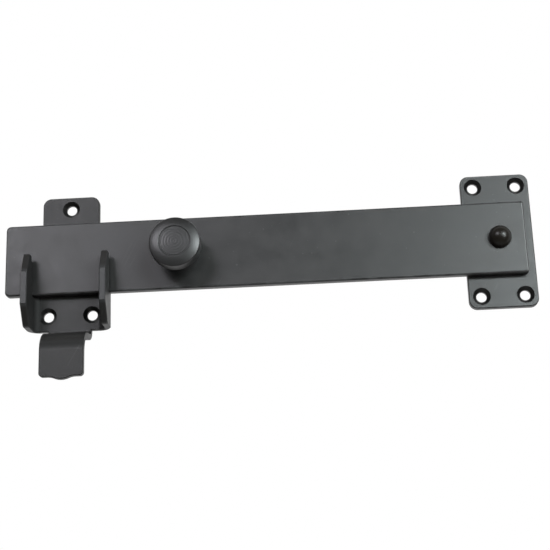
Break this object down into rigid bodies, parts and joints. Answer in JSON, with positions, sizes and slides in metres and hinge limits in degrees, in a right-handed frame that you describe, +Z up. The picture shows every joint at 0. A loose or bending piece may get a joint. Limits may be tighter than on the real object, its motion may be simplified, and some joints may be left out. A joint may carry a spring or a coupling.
{
  "type": "pivoting drop bar door latch",
  "caption": "Flat steel bar that pivots on a screwed plate, lifts by a turned knob and drops into the hooked ears of a folded catch bracket with a finger lip.",
  "frame": {"origin": "pivot axis of the bar where it meets the mounting plane, which is also the centre of the pivot plate's back face", "axes": "+X along the closed bar, from the catch towards the pivot; +Y into the door or frame that it is screwed to, so everything stands on the -Y side; +Z up"},
  "size_m": [0.2865, 0.0305, 0.1073],
  "materials": {
    "black_steel": "satin black powder coat",
    "black_knob": "semi-gloss black over turned steel",
    "black_pin": "gloss black"
  },
  "bodies": {
    "fixed": {"pivot_plate": "black_steel", "pivot_pin": "black_pin", "pivot_washer": "black_pin", "catch_bracket": "black_steel"},
    "bar": {"drop_bar": "black_steel", "knob": "black_knob", "knob_screw": "black_pin"}
  },
  "joints": [
    {"name": "bar_pivot", "type": "hinge", "parent": "fixed", "child": "bar", "pos_m": [0, -0.00665, 0], "axis": [0, 1, 0], "range_deg": [0, 340]}
  ]
}
